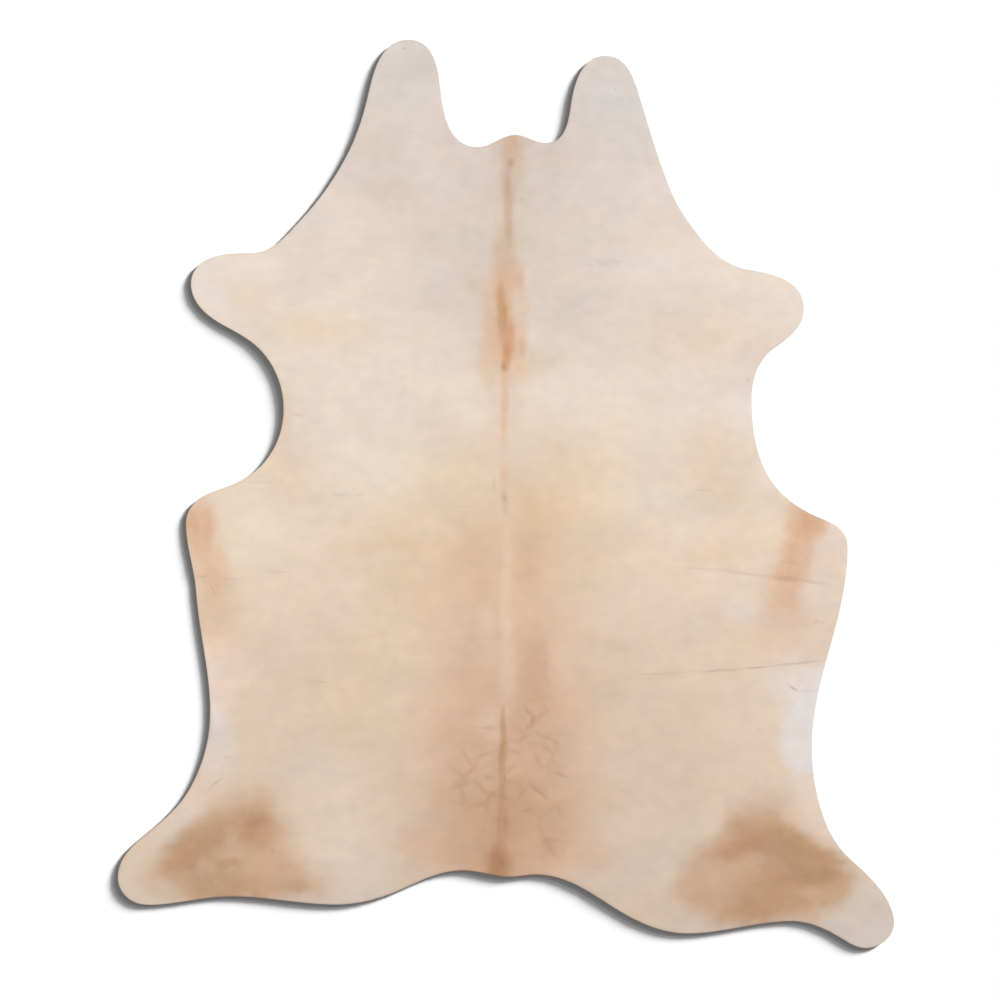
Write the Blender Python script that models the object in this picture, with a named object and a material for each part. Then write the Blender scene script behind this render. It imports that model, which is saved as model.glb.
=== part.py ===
"""Cowhide rug: one whole hair-on cattle hide, trimmed and laid out flat, hair side up.

The hide lies on z = 0 with its neck towards +Y and its tail towards -Y. The origin is on the
ground under the middle of its length and width. It is one solid: 2 mm of leather with short
hair lying flat on it, thickest along the back, thinnest at the belly edges.
"""
import math
from collections import namedtuple

import bmesh
import bpy
from mathutils import Vector
from mathutils.geometry import delaunay_2d_cdt, interpolate_bezier

MM = 0.001

# Driving dimensions
HIDE_LENGTH = 2.200       # neck end to hind toes
HIDE_WIDTH = 1.881        # across the hind toes
LEATHER = 2.2 * MM
COAT = 3.3 * MM           # the hair, as deep as it lies

# How finely the solid follows the hide
POINTS_A_RUN = 40         # points drawn between two landmarks, before they are spaced evenly
RIM_STEP = 16 * MM        # spacing of the points along the cut edge
BODY_STEP = 50 * MM       # spacing of the points over the hair side
FOLD_STEP = 26 * MM       # spacing of the points along a crease
CLEARANCE = 0.5           # share of BODY_STEP left free beside the rim and the creases

# The cut edge, read clockwise from the neck with the hide seen from above, in millimetres from
# the middle. The heading is the way that the edge runs at the point, in degrees from +X, and
# between two points it turns in the arc that the two headings ask for. A pull under 1 makes
# the turn at that point tighter than the arc.
Landmark = namedtuple("Landmark", "name x y heading pull", defaults=(1.0,))
LANDMARKS = [Landmark(*row) for row in (
    ("neck point", 22, 870, 0),
    ("neck hollow right", 94, 849, 0),
    ("ear right inner side", 161, 967, 78),
    ("ear right tip", 239, 1061, 0),
    ("ear right outer side", 327, 947, -73),
    ("neck right", 397, 737, -68),
    ("shoulder right", 476, 613, -50),
    ("foreleg right top", 583, 543, -9),
    ("foreleg right tip", 721, 448, -90),
    ("foreleg right under", 668, 368, -147),
    ("armpit right", 613, 313, -118),
    ("waist right", 594, 235, -90),
    ("flank right hollow", 638, 37, -58),
    ("flank right top", 749, -54, -24),
    ("flank right corner", 827, -124, -90),
    ("belly right", 785, -368, -106),
    ("belly right hollow", 740, -611, -90),
    ("hind leg right neck", 780, -812, -66),
    ("hind leg right knee", 838, -889, -41),
    ("hind leg right tip", 940, -1036, -86, 0.85),
    ("hind leg right toe", 872, -1100, 180),
    ("hind leg right under", 806, -1072, 149),
    ("rump right hollow", 693, -1034, 180),
    ("rump right lobe", 439, -1064, 180),
    ("rump right rise", 267, -1005, 148),
    ("tail hollow right", 73, -921, 180),
    ("tail root", 7, -927, 180),
    ("tail hollow left", -104, -911, 180),
    ("rump left fall", -245, -953, -155),
    ("rump left lobe", -412, -994, 180),
    ("rump left hollow", -664, -974, 180),
    ("hind leg left toe", -870, -995, 180),
    ("hind leg left tip", -941, -929, 90),
    ("hind leg left top", -851, -807, 40),
    ("hind leg left neck", -773, -725, 58),
    ("belly left hollow", -717, -528, 90),
    ("belly left", -751, -237, 94),
    ("flank left corner", -776, -70, 90),
    ("flank left top", -710, 5, 18),
    ("flank left hollow", -609, 54, 39),
    ("waist left", -539, 206, 90),
    ("armpit left", -588, 341, 130),
    ("foreleg left under", -680, 406, 152),
    ("foreleg left tip", -764, 510, 90),
    ("foreleg left top", -671, 581, 5),
    ("shoulder left bend", -613, 583, 2),
    ("shoulder left", -497, 664, 46),
    ("neck left", -391, 810, 61),
    ("ear left outer side", -334, 968, 77),
    ("ear left tip", -236, 1100, 0),
    ("ear left inner side", -160, 979, -84),
    ("neck hollow left", -68, 839, 0),
)]

# The cut edge in section, from the ground up: how far it steps in and how high it is, as a
# share of the hide's thickness there. The hair rolls over the edge of the leather.
RimStep = namedtuple("RimStep", "name inset height")
RIM_SECTION = [RimStep(*row) for row in (
    ("flesh side", 0.0 * MM, 0.00),
    ("grain side of the leather", 0.0 * MM, 0.38),
    ("hair rolling over", 1.6 * MM, 0.62),
    ("coat beside the edge", 9.0 * MM, 0.86),
)]

# Where the hide is thicker or thinner than the rest: a soft mound or hollow of this reach,
# turned by this many degrees from +X, in millimetres.
Swell = namedtuple("Swell", "name x y reach_along reach_across turn height")
SWELLS = [Swell(*row) for row in (
    ("back line", 5, -60, 900, 75, 90, 0.9),
    ("withers", 5, 470, 260, 210, 90, 0.5),
    ("rump", 0, -640, 330, 300, 0, 0.6),
    ("neck", 0, 820, 330, 160, 0, 0.4),
    ("belly left", -740, -300, 420, 130, 90, -1.1),
    ("belly right", 790, -330, 420, 140, 90, -1.1),
    ("foreleg left", -720, 500, 150, 120, 0, -0.7),
    ("foreleg right", 690, 450, 150, 120, 0, -0.7),
    ("hind leg left", -860, -900, 170, 140, 40, -0.6),
    ("hind leg right", 870, -990, 170, 140, -45, -0.6),
    ("ear left", -240, 1010, 150, 90, 90, -0.5),
    ("ear right", 240, 980, 150, 90, 90, -0.5),
    ("loin dip left", -300, -150, 330, 240, 70, -0.4),
    ("loin dip right", 330, -120, 300, 260, 110, -0.4),
    ("shoulder blade left", -330, 330, 190, 150, 60, 0.4),
    ("shoulder blade right", 320, 300, 190, 150, 120, 0.4),
)]

# Creases left by folding for storage, from one end to the other, in millimetres: a soft
# trough of this half width and depth with a low ridge along each side.
Fold = namedtuple("Fold", "name x0 y0 x1 y1 half_width depth")
FOLDS = [Fold(*row) for row in (
    ("long crease, right flank", 285, -442, 768, -408, 16, 0.9),
    ("upper crease, right flank", 445, -180, 797, -222, 14, 0.7),
    ("short crease, right belly", 674, -464, 738, -476, 10, 0.6),
    ("crease, left flank", -768, -205, -645, -213, 12, 0.5),
)]
FOLD_COLUMNS = (-2.0, -1.0, 0.0, 1.0, 2.0)    # point rows across a crease, in half widths
FOLD_FADE = 60 * MM                           # a crease runs out over this length at its ends

# The finish, as a plain colour
COAT_COLOUR = (0.79, 0.68, 0.57, 1.0)
COAT_ROUGHNESS = 0.75


def clear_scene():
    for thing in list(bpy.data.objects):
        bpy.data.objects.remove(thing, do_unlink=True)


def arc_handle(chord, lean):
    """Length of the handle that bends a chord into an arc leaving it at this angle."""
    if lean < 0.001:
        return chord / 3
    return chord * (2 / 3) * math.tan(lean / 2) / math.sin(lean)


def angle_between(first, second):
    turn = (first - second + math.pi) % (2 * math.pi) - math.pi
    return abs(turn)


def edge_run(start, end, count):
    """Points from one landmark up to the next, the last one left out."""
    a = Vector((start.x, start.y))
    b = Vector((end.x, end.y))
    chord = (b - a).length
    along = math.atan2(b.y - a.y, b.x - a.x)
    handles = []
    for mark in (start, end):
        heading = math.radians(mark.heading)
        reach = mark.pull * arc_handle(chord, angle_between(heading, along))
        handles.append(reach * Vector((math.cos(heading), math.sin(heading))))
    return interpolate_bezier(a, a + handles[0], b - handles[1], b, count + 1)[:-1]


def cut_edge():
    """The trimmed outline, anticlockwise, in metres and at the driving length and width."""
    drawn = []
    for start, end in zip(LANDMARKS, LANDMARKS[1:] + LANDMARKS[:1]):
        drawn.extend(edge_run(start, end, POINTS_A_RUN))
    drawn.reverse()
    loop = spaced_evenly(drawn, RIM_STEP / MM)
    low = Vector((min(p.x for p in loop), min(p.y for p in loop)))
    high = Vector((max(p.x for p in loop), max(p.y for p in loop)))
    middle = (low + high) / 2
    scale_x = HIDE_WIDTH / (high.x - low.x)
    scale_y = HIDE_LENGTH / (high.y - low.y)
    return [Vector(((p.x - middle.x) * scale_x, (p.y - middle.y) * scale_y)) for p in loop]


def spaced_evenly(loop, step):
    """The same closed line with its points an equal distance apart, near this step."""
    lengths = [(b - a).length for a, b in zip(loop, loop[1:] + loop[:1])]
    count = round(sum(lengths) / step)
    spacing = sum(lengths) / count
    points = []
    travelled = 0.0
    for index, length in enumerate(lengths):
        start = loop[index]
        end = loop[(index + 1) % len(loop)]
        while len(points) < count and len(points) * spacing < travelled + length:
            points.append(start.lerp(end, (len(points) * spacing - travelled) / length))
        travelled += length
    return points


def stepped_in(loop, inset):
    """The closed line moved inwards, square to itself at each point."""
    moved = []
    for index, point in enumerate(loop):
        along = (loop[(index + 1) % len(loop)] - loop[index - 1]).normalized()
        moved.append(point + inset * Vector((-along.y, along.x)))
    return moved


def swell_height(swell, x, y):
    turn = math.radians(swell.turn)
    dx = x / MM - swell.x
    dy = y / MM - swell.y
    along = (dx * math.cos(turn) + dy * math.sin(turn)) / swell.reach_along
    across = (dy * math.cos(turn) - dx * math.sin(turn)) / swell.reach_across
    return swell.height * MM * math.exp(-(along ** 2 + across ** 2))


def fold_frame(fold):
    start = Vector((fold.x0, fold.y0)) * MM
    end = Vector((fold.x1, fold.y1)) * MM
    along = (end - start).normalized()
    return start, along, Vector((-along.y, along.x)), (end - start).length


def fold_height(fold, x, y):
    """A trough between two low ridges, fading out at both ends."""
    start, along, across, length = fold_frame(fold)
    offset = Vector((x, y)) - start
    run = offset.dot(along)
    side = offset.dot(across) / (fold.half_width * MM)
    fade = min(1.0, max(0.0, min(run, length - run) / FOLD_FADE + 0.5))
    trough = math.exp(-side ** 2)
    ridges = 0.45 * (math.exp(-(side - 2) ** 2) + math.exp(-(side + 2) ** 2))
    return fade * fold.depth * MM * (ridges - trough)


def top_height(x, y):
    """Thickness of leather and coat together at a place on the hide."""
    height = LEATHER + COAT
    for swell in SWELLS:
        height += swell_height(swell, x, y)
    for fold in FOLDS:
        height += fold_height(fold, x, y)
    return height


def is_inside(loop, point):
    crossings = 0
    for a, b in zip(loop, loop[1:] + loop[:1]):
        if (a.y > point.y) != (b.y > point.y):
            if point.x < a.x + (point.y - a.y) / (b.y - a.y) * (b.x - a.x):
                crossings += 1
    return crossings % 2 == 1


def is_clear_of(points, point, distance):
    return all((point - other).length > distance for other in points)


def fold_points(ring):
    """Rows of points along and beside each crease, so that the solid can bend there."""
    points = []
    for fold in FOLDS:
        start, along, across, length = fold_frame(fold)
        stations = round(length / FOLD_STEP)
        for station in range(stations + 1):
            for column in FOLD_COLUMNS:
                offset = column * fold.half_width * MM
                point = start + along * (length * station / stations) + across * offset
                if is_inside(ring, point) and is_clear_of(ring, point, RIM_STEP / 2):
                    points.append(point)
    return points


def body_points(ring, taken):
    """A triangular grid over the rest of the hide, the back line on one of its columns."""
    points = []
    row_step = BODY_STEP * math.sqrt(3) / 2
    rows = int(HIDE_LENGTH / 2 / row_step) + 1
    columns = int(HIDE_WIDTH / 2 / BODY_STEP) + 1
    for row in range(-rows, rows + 1):
        shift = BODY_STEP / 2 if row % 2 else 0.0
        for column in range(-columns, columns + 1):
            point = Vector((column * BODY_STEP + shift, row * row_step))
            if is_inside(ring, point) and is_clear_of(ring + taken, point, BODY_STEP * CLEARANCE):
                points.append(point)
    return points


def fill_hair_side(bm, ring_verts):
    """Close the top with a net of triangles that follows the mounds and the creases."""
    ring = [v.co.xy for v in ring_verts]
    creases = fold_points(ring)
    inside = creases + body_points(ring, creases)
    edges = [(i, (i + 1) % len(ring)) for i in range(len(ring))]
    net = delaunay_2d_cdt(ring + inside, edges, [], 1, 1e-6)
    places, faces = net[0], net[2]
    verts = list(ring_verts)
    for place in places[len(ring):]:
        verts.append(bm.verts.new((place.x, place.y, top_height(place.x, place.y))))
    for face in faces:
        bm.faces.new([verts[i] for i in face])


def build_hide():
    bm = bmesh.new()
    edge = cut_edge()
    rings = []
    for step in RIM_SECTION:
        ring = []
        for point in stepped_in(edge, step.inset):
            height = step.height * top_height(point.x, point.y)
            ring.append(bm.verts.new((point.x, point.y, height)))
        rings.append(ring)
    for lower, upper in zip(rings, rings[1:]):
        for i in range(len(lower)):
            j = (i + 1) % len(lower)
            bm.faces.new((lower[i], lower[j], upper[j], upper[i]))
    bm.faces.new(reversed(rings[0]))
    fill_hair_side(bm, rings[-1])
    mesh = bpy.data.meshes.new("hide")
    bm.to_mesh(mesh)
    bm.free()
    hide = bpy.data.objects.new("hide", mesh)
    bpy.context.scene.collection.objects.link(hide)
    mesh.shade_smooth()
    mesh.set_sharp_from_angle(angle=math.radians(50))
    mesh.materials.append(hair_coat_material())
    return hide


def hair_coat_material():
    material = bpy.data.materials.new("short cattle hair")
    material.use_nodes = True
    shader = material.node_tree.nodes["Principled BSDF"]
    shader.inputs["Base Color"].default_value = COAT_COLOUR
    shader.inputs["Roughness"].default_value = COAT_ROUGHNESS
    shader.inputs["Metallic"].default_value = 0.0
    return material


clear_scene()
build_hide()
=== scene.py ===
# A whole cowhide laid out flat, hair side up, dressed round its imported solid.
# Places and sizes in the tables are in millimetres from the middle of the hide, x to the right
# and y towards the neck, and mm turns them into the scene's metres.
import math
import time
from collections import namedtuple

import bpy
import numpy as np
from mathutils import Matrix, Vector
from mathutils.bvhtree import BVHTree
from mathutils.kdtree import KDTree


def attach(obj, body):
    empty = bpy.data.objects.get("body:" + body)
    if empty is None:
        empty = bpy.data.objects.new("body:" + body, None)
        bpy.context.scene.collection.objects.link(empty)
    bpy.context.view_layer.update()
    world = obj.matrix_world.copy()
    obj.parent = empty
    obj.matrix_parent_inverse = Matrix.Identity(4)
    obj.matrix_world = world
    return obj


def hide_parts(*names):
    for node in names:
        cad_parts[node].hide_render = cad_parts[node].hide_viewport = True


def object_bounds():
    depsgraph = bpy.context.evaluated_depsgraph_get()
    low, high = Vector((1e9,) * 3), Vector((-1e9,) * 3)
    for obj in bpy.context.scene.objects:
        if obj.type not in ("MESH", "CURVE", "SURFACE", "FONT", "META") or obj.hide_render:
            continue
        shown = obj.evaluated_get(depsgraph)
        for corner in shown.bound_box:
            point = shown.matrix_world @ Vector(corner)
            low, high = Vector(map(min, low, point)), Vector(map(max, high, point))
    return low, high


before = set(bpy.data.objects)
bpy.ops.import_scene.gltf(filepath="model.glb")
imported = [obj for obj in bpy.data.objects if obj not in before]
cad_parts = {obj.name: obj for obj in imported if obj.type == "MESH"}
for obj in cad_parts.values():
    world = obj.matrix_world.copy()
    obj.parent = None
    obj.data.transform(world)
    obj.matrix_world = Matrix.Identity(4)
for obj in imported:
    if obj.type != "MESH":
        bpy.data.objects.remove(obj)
cadLow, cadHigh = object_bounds()
mm = 0.001
began = time.time()


def report(*words):
    print(f"{time.time() - began:6.1f} s", *words)


def table(fields, *rows, defaults=()):
    # rows of named values
    named = namedtuple("named", fields, defaults=defaults)
    return [named(*row) for row in rows]


# Colours of the coat
noiseGrid = {"knots": 64, "shiftX": 31.7, "shiftY": 17.3}    # where it repeats, and the hide's middle on it


def softNoise(x, y, knot, seed, stretch=1.0):
    # smooth noise from -1 to 1 with a knot every so many mm, drawn out along x by the stretch
    count = noiseGrid["knots"]
    knots = np.random.default_rng(seed).uniform(-1, 1, (count, count))
    u = x / (knot * stretch * mm) + noiseGrid["shiftX"]
    v = y / (knot * mm) + noiseGrid["shiftY"]
    i, j = np.floor(u).astype(int), np.floor(v).astype(int)
    fu, fv = u - i, v - j
    fu, fv = fu * fu * (3 - 2 * fu), fv * fv * (3 - 2 * fv)
    i0, i1, j0, j1 = i % count, (i + 1) % count, j % count, (j + 1) % count
    low = knots[i0, j0] * (1 - fu) + knots[i1, j0] * fu
    high = knots[i0, j1] * (1 - fu) + knots[i1, j1] * fu
    return low * (1 - fv) + high * fv


def hexValues(text):
    return np.array([int(text[i:i + 2], 16) / 255 for i in (1, 3, 5)])


def toLinear(values):
    values = np.asarray(values, dtype=float)
    return np.where(values <= 0.04045, values / 12.92, ((values + 0.055) / 1.055) ** 2.4)


# The ground colour of the coat by the part of the animal: y, the open sides there, beside the back line
coatRegions = table(
    "name y side back",
    ("cheeks", 1000, "shell", "putty"),
    ("shoulders", 540, "ivory", "linen"),
    ("waist", 240, "ivory", "ivory"),
    ("hips", -150, "oat", "sand"),
    ("croup", -440, "biscuit", "wheat"),
    ("rump", -740, "driftwood", "toast"),
    ("hind toes", -1080, "pebble", "wheat"),
)
backBand = {"reach": 165, "edge": 1.4, "middle": 8}    # mm, and how firm its edge is

# What the hair is coloured with
palette = {
    "shell": "#DDD5CE",
    "putty": "#D9CCC1",
    "linen": "#E1D3C5",
    "ivory": "#EADBCE",
    "oat": "#E9D5C2",
    "sand": "#DDC2A7",
    "biscuit": "#E1CCB7",
    "wheat": "#D7B59C",
    "driftwood": "#DDC8B4",
    "toast": "#CEAA8E",
    "pebble": "#D3C5B8",
    "white": "#E9E6E8",
    "blueGrey": "#D6D2D3",
    "ash": "#CDC3BC",
    "cream": "#F0E4D5",
    "pinkCream": "#EDD8CA",
    "honey": "#E6CCA6",
    "fawn": "#DDBE9C",
    "pinkTan": "#DDB79B",
    "tan": "#D2A57C",
    "rust": "#CC9268",
    "umber": "#A97F5B",
    "mauve": "#CFB6A6",
    "hock": "#C7A387",
    "hockDeep": "#C19D7E",
    "hockDark": "#AA8868",
    "hockRed": "#BC8E6A",
    "hockPale": "#CFAD92",
    "cloud": "#B9926F",
    "peach": "#E0B498",
    "rose": "#BFA190",
    "olive": "#B9966C",
    "clay": "#DEB699",
    "custard": "#F1DFC8",
    "paleGrey": "#DFDDDE",
    "russet": "#A9764E",
}

# Soft patches of those colours, each over the ones before it: half strength at its reach, firmer
# with a higher edge, turned by degrees
patches = table(
    "name x y along across edge colour share turn",
    # neck and cheeks
    ("left cheek end", -235, 1040, 90, 75, 1.0, "blueGrey", 0.25),
    ("left cheek front", -270, 900, 60, 120, 1.0, "blueGrey", 0.32),
    ("right cheek", 290, 950, 90, 130, 1.0, "blueGrey", 0.55, 70),
    ("right cheek end", 230, 1030, 70, 45, 1.0, "pinkCream", 0.15),
    ("left cheek warm", -300, 860, 70, 60, 1.0, "honey", 0.20, 30),
    ("neck middle shade", 0, 760, 95, 150, 1.2, "ash", 0.28),
    ("neck, cool left edge", -345, 745, 80, 22, 1.2, "blueGrey", 0.24, -32),
    ("neck, warm left", -278, 712, 80, 50, 1.2, "fawn", 0.26, -20),
    ("collar shade left", -150, 560, 110, 170, 1.2, "ash", 0.30, 20),
    ("collar shade right", 165, 520, 110, 150, 1.2, "ash", 0.27, -20),
    ("collar right, cool", 290, 556, 110, 22, 1.3, "blueGrey", 0.35),
    # shoulders and forelegs
    ("right waist, pale edge", 586, 262, 46, 96, 1.4, "white", 0.62),
    ("left foreleg tip", -740, 500, 70, 80, 1.2, "cream", 0.75),
    ("left foreleg top", -640, 545, 100, 40, 1.0, "cream", 0.35),
    ("left foreleg honey", -500, 395, 85, 42, 1.0, "honey", 0.24),
    ("left foreleg honey tail", -400, 395, 90, 30, 1.0, "fawn", 0.18),
    ("left foreleg, warm", -620, 480, 48, 30, 1.2, "fawn", 0.24),
    ("left foreleg, underside", -712, 478, 52, 24, 1.4, "white", 0.36, -35),
    ("right foreleg tip", 700, 460, 70, 70, 1.2, "cream", 0.45),
    ("right foreleg top", 560, 545, 130, 45, 1.0, "cream", 0.50, -12),
    ("right foreleg honey", 466, 380, 105, 60, 1.0, "fawn", 0.24),
    ("right armpit", 590, 310, 45, 60, 1.0, "pinkTan", 0.25),
    ("bright band right", 260, 240, 330, 60, 1.0, "cream", 0.25, -3),
    # back line on the neck
    ("neck end", 13, 850, 16, 30, 1.6, "tan", 0.58),
    ("neck knot", 11, 802, 11, 13, 1.6, "rose", 0.70),
    ("neck knot, core", 12, 804, 7, 8, 1.4, "umber", 0.36),
    ("neck", 4, 705, 10, 100, 2.0, "rose", 0.62, 1.5),
    ("neck, upper", 3, 748, 18, 44, 1.6, "rose", 0.34),
    ("neck haze", 8, 730, 34, 135, 1.3, "fawn", 0.24),
    ("neck end haze", 20, 830, 36, 50, 1.3, "hockPale", 0.42),
    ("collar", -2, 592, 25, 54, 1.4, "hockPale", 0.46),
    # withers
    ("left box", -74, 500, 34, 46, 2.2, "pinkTan", 0.18),
    ("top box", 1, 514, 36, 42, 2.2, "hockPale", 0.55),
    ("halo", -10, 315, 96, 60, 2.6, "fawn", 0.44),
    ("peach in the halo", -2, 345, 42, 70, 1.6, "peach", 0.42),
    ("left of the box", -28, 500, 15, 50, 1.6, "peach", 0.34),
    ("haze", -4, 424, 46, 76, 1.7, "pinkTan", 0.60),
    ("left side", -44, 392, 18, 92, 1.5, "pinkTan", 0.42),
    ("right side", 26, 506, 15, 46, 1.5, "peach", 0.42),
    ("light right", 22, 450, 15, 44, 1.4, "linen", 0.46),
    ("spot on the right", 40, 362, 9, 20, 1.4, "tan", 0.36),
    ("tan", -8, 425, 17, 84, 1.7, "tan", 0.37),
    ("gold", -12, 448, 10, 56, 1.6, "olive", 0.42, 3),
    ("orange in the gold", -8, 412, 10, 60, 1.6, "rust", 0.32, 3),
    ("rust", 7, 368, 12, 46, 2.0, "rust", 0.60, -4),
    ("point", 0, 330, 9, 34, 1.8, "rust", 0.60, -6),
    ("dark tip", -5, 306, 8, 11, 1.4, "umber", 0.50),
    # back line behind them
    ("waist haze", -6, 215, 40, 82, 2.0, "peach", 0.24),
    ("waist", -4, 205, 8, 95, 1.8, "fawn", 0.62),
    ("waist spot", -3, 216, 8, 14, 1.3, "peach", 0.40),
    ("loin spot", -3, 44, 9, 26, 1.4, "peach", 0.55),
    ("loin knot", -3, -16, 8, 28, 1.6, "rose", 0.50),
    ("light back line", 0, -185, 13, 170, 1.8, "pinkCream", 0.28),
    # loin and rump
    ("loin left haze", -180, 30, 130, 90, 1.0, "honey", 0.28, 20),
    ("loin right haze", 170, 50, 120, 100, 1.0, "honey", 0.30, -20),
    ("right of the loin, pale", 330, -10, 120, 44, 1.2, "cream", 0.30),
    ("loin right brown", 75, -55, 60, 62, 1.5, "fawn", 0.45),
    ("loin right, brown low", 50, -165, 36, 54, 1.5, "toast", 0.38),
    ("loin left, brown low", -86, -180, 44, 66, 1.4, "toast", 0.30),
    # painted shade along the soft fold on the left of the loin
    ("soft fold, loin left, shade", -305, -119, 105, 15, 1.4, "fawn", 0.32, 3),
    ("loin left brown", -230, -180, 130, 110, 1.0, "fawn", 0.40, 60),
    ("loin right fawn", 190, -130, 90, 120, 1.0, "fawn", 0.22),
    ("croup right, dark", 68, -425, 32, 92, 2.2, "toast", 0.66),
    ("light strip on the back", 1, -420, 19, 118, 1.5, "oat", 0.40),
    ("light place left of the strip", -42, -350, 20, 76, 1.6, "oat", 0.30),
    ("light place right of the croup", 136, -415, 32, 52, 1.5, "oat", 0.28),
    ("pale place left of the tail line", -42, -552, 25, 52, 2.0, "oat", 0.32),
    ("pale place left of the tail line, low", -58, -680, 22, 44, 1.5, "oat", 0.22),
    ("croup right, low", 55, -520, 60, 60, 1.3, "toast", 0.22),
    ("rump left, dark", -118, -690, 52, 115, 1.7, "hock", 0.46, 8),
    ("left side, brown", -330, -475, 85, 105, 1.2, "fawn", 0.26),
    ("rump left, low brown", -190, -862, 78, 46, 1.4, "toast", 0.50, 10),
    ("right side, brown shade", 300, -366, 84, 28, 1.3, "mauve", 0.42),
    ("rump left, haze", -170, -640, 90, 130, 1.2, "wheat", 0.30),
    ("tail line, top", -8, -562, 6.5, 46, 2.2, "cloud", 0.50),
    ("tail line, knot", -5, -618, 9, 22, 1.5, "olive", 0.60),
    ("tail line", -9, -665, 8.5, 70, 2.2, "cloud", 0.66),
    ("tail line, low", -10, -795, 12, 80, 2.0, "cloud", 0.42),
    ("rump, low shade", 10, -785, 120, 100, 1.5, "olive", 0.18),
    ("tail haze", -12, -820, 56, 95, 1.3, "cloud", 0.32),
    ("rump, low and left", -72, -846, 84, 60, 1.4, "hock", 0.38),
    ("rump, low and right", 100, -810, 84, 84, 1.2, "toast", 0.48),
    ("tail root", -18, -900, 30, 54, 2.0, "cloud", 0.78),
    ("tail root, core", -20, -892, 19, 44, 1.7, "russet", 0.54),
    ("tail root, above", -12, -790, 14, 44, 1.5, "russet", 0.22),
    ("rump right, low brown", 110, -850, 40, 44, 1.4, "hock", 0.46),
    ("rump right, brown by its lower edge", 200, -880, 60, 30, 1.3, "toast", 0.35, -14),
    ("left rump, shade", -450, -690, 90, 60, 1.2, "pebble", 0.34),
    ("rump right, mauve", 330, -690, 170, 130, 1.2, "mauve", 0.25, -30),
    # sides and waist
    ("right side tan", 500, 60, 70, 90, 1.2, "fawn", 0.25),
    ("right side honey", 560, -20, 70, 80, 1.0, "honey", 0.20),
    ("left waist tan", -520, 60, 60, 60, 1.0, "fawn", 0.25),
    ("left waist, warm edge", -548, 170, 34, 84, 1.2, "fawn", 0.30),
    ("bright band left", -320, 62, 130, 70, 1.3, "cream", 0.46),
    # right flank
    ("corner", 795, -105, 38, 85, 1.8, "pinkCream", 0.75),
    ("rust", 712, -122, 42, 98, 2.2, "clay", 0.82, -16),
    ("rust, top", 726, -62, 48, 44, 1.6, "tan", 0.50, -24),
    ("rust, streak", 694, -140, 8, 52, 1.6, "tan", 0.24, -12),
    ("rust, pale streak", 748, -150, 8, 44, 1.6, "pinkCream", 0.30, -12),
    ("rust, under the crease", 680, -228, 40, 54, 1.7, "clay", 0.72, -10),
    ("rust, foot", 674, -302, 56, 52, 1.3, "clay", 0.36),
    ("haze", 650, -360, 90, 60, 1.1, "pinkTan", 0.25),
    ("shade", 520, -148, 60, 26, 1.3, "fawn", 0.28),
    ("pale", 568, -282, 44, 32, 2.0, "ivory", 0.70, -20),
    ("cream", 765, -250, 42, 80, 1.3, "pinkCream", 0.40),
    # left flank
    ("cream", -640, -90, 118, 80, 1.4, "custard", 0.58),
    ("rust", -742, -80, 36, 66, 2.0, "clay", 0.84, 4),
    ("rust, edge", -768, -72, 20, 45, 1.4, "tan", 0.42),
    ("rust, inner edge", -722, -92, 10, 44, 1.6, "peach", 0.45),
    ("rust, low", -716, -164, 34, 58, 1.5, "clay", 0.68, 6),
    ("rust, foot", -708, -240, 34, 60, 1.3, "fawn", 0.32),
    ("haze", -690, -345, 66, 110, 1.1, "pinkTan", 0.42),
    # left belly and knee
    ("pale edge", -728, -440, 24, 78, 1.4, "white", 0.52, 4),
    ("white", -708, -580, 38, 84, 1.6, "paleGrey", 0.72),
    ("grey in the white", -722, -560, 9, 44, 1.4, "ash", 0.55),
    ("pale", -690, -436, 62, 84, 1.7, "pinkCream", 0.72),
    ("low", -725, -650, 40, 46, 1.5, "paleGrey", 0.20),
    ("knee, warm", -704, -640, 24, 60, 1.3, "peach", 0.26, -14),
    ("knee, pale edge", -795, -745, 60, 60, 1.3, "pinkCream", 0.50, 40),
    # right belly
    ("white", 726, -596, 77, 82, 4.5, "paleGrey", 0.94),
    ("white fading out", 745, -692, 46, 38, 1.3, "paleGrey", 0.40),
    ("pale top", 712, -452, 58, 48, 1.6, "white", 0.55),
    ("white, top", 748, -506, 66, 42, 2.6, "paleGrey", 0.85),
    ("pale", 650, -560, 60, 120, 1.1, "pinkCream", 0.22),
    ("pale wash", 650, -430, 100, 84, 1.2, "white", 0.14),
    ("top corner", 784, -440, 46, 30, 1.6, "white", 0.62, 40),
    # left hock: a cloud that is dark along its front and at the top of its inner side
    ("haze", -634, -756, 74, 44, 1.4, "hockPale", 0.66),
    ("cloud", -666, -908, 160, 76, 2.4, "hockDeep", 0.74),
    ("top", -690, -808, 84, 44, 1.8, "cloud", 0.46, 24),
    ("front", -768, -866, 108, 42, 1.9, "cloud", 0.80, 38),
    ("front, dark", -795, -888, 40, 20, 1.6, "hockRed", 0.45, 30),
    ("between its darks", -662, -790, 48, 28, 1.8, "cloud", 0.16, 12),
    ("inner", -606, -810, 46, 48, 2.2, "cloud", 0.78),
    ("inner, dark", -604, -814, 28, 28, 1.7, "hockRed", 0.45),
    ("pale middle", -676, -862, 46, 22, 1.7, "hockPale", 0.60, 16),
    ("brown under it", -670, -892, 26, 10, 1.4, "hockRed", 0.45, 10),
    ("low brown", -690, -950, 112, 32, 2.0, "cloud", 0.48, 3),
    ("brown by the edge", -590, -970, 60, 14, 1.5, "cloud", 0.40, -3),
    ("front, foot", -838, -946, 46, 30, 1.4, "hock", 0.55, 14),
    ("pale inner", -560, -895, 58, 26, 1.5, "hockPale", 0.65, -12),
    ("haze behind", -548, -838, 46, 54, 1.4, "hockPale", 0.44),
    ("inner low", -520, -930, 100, 42, 1.9, "hock", 0.55, -14),
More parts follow.
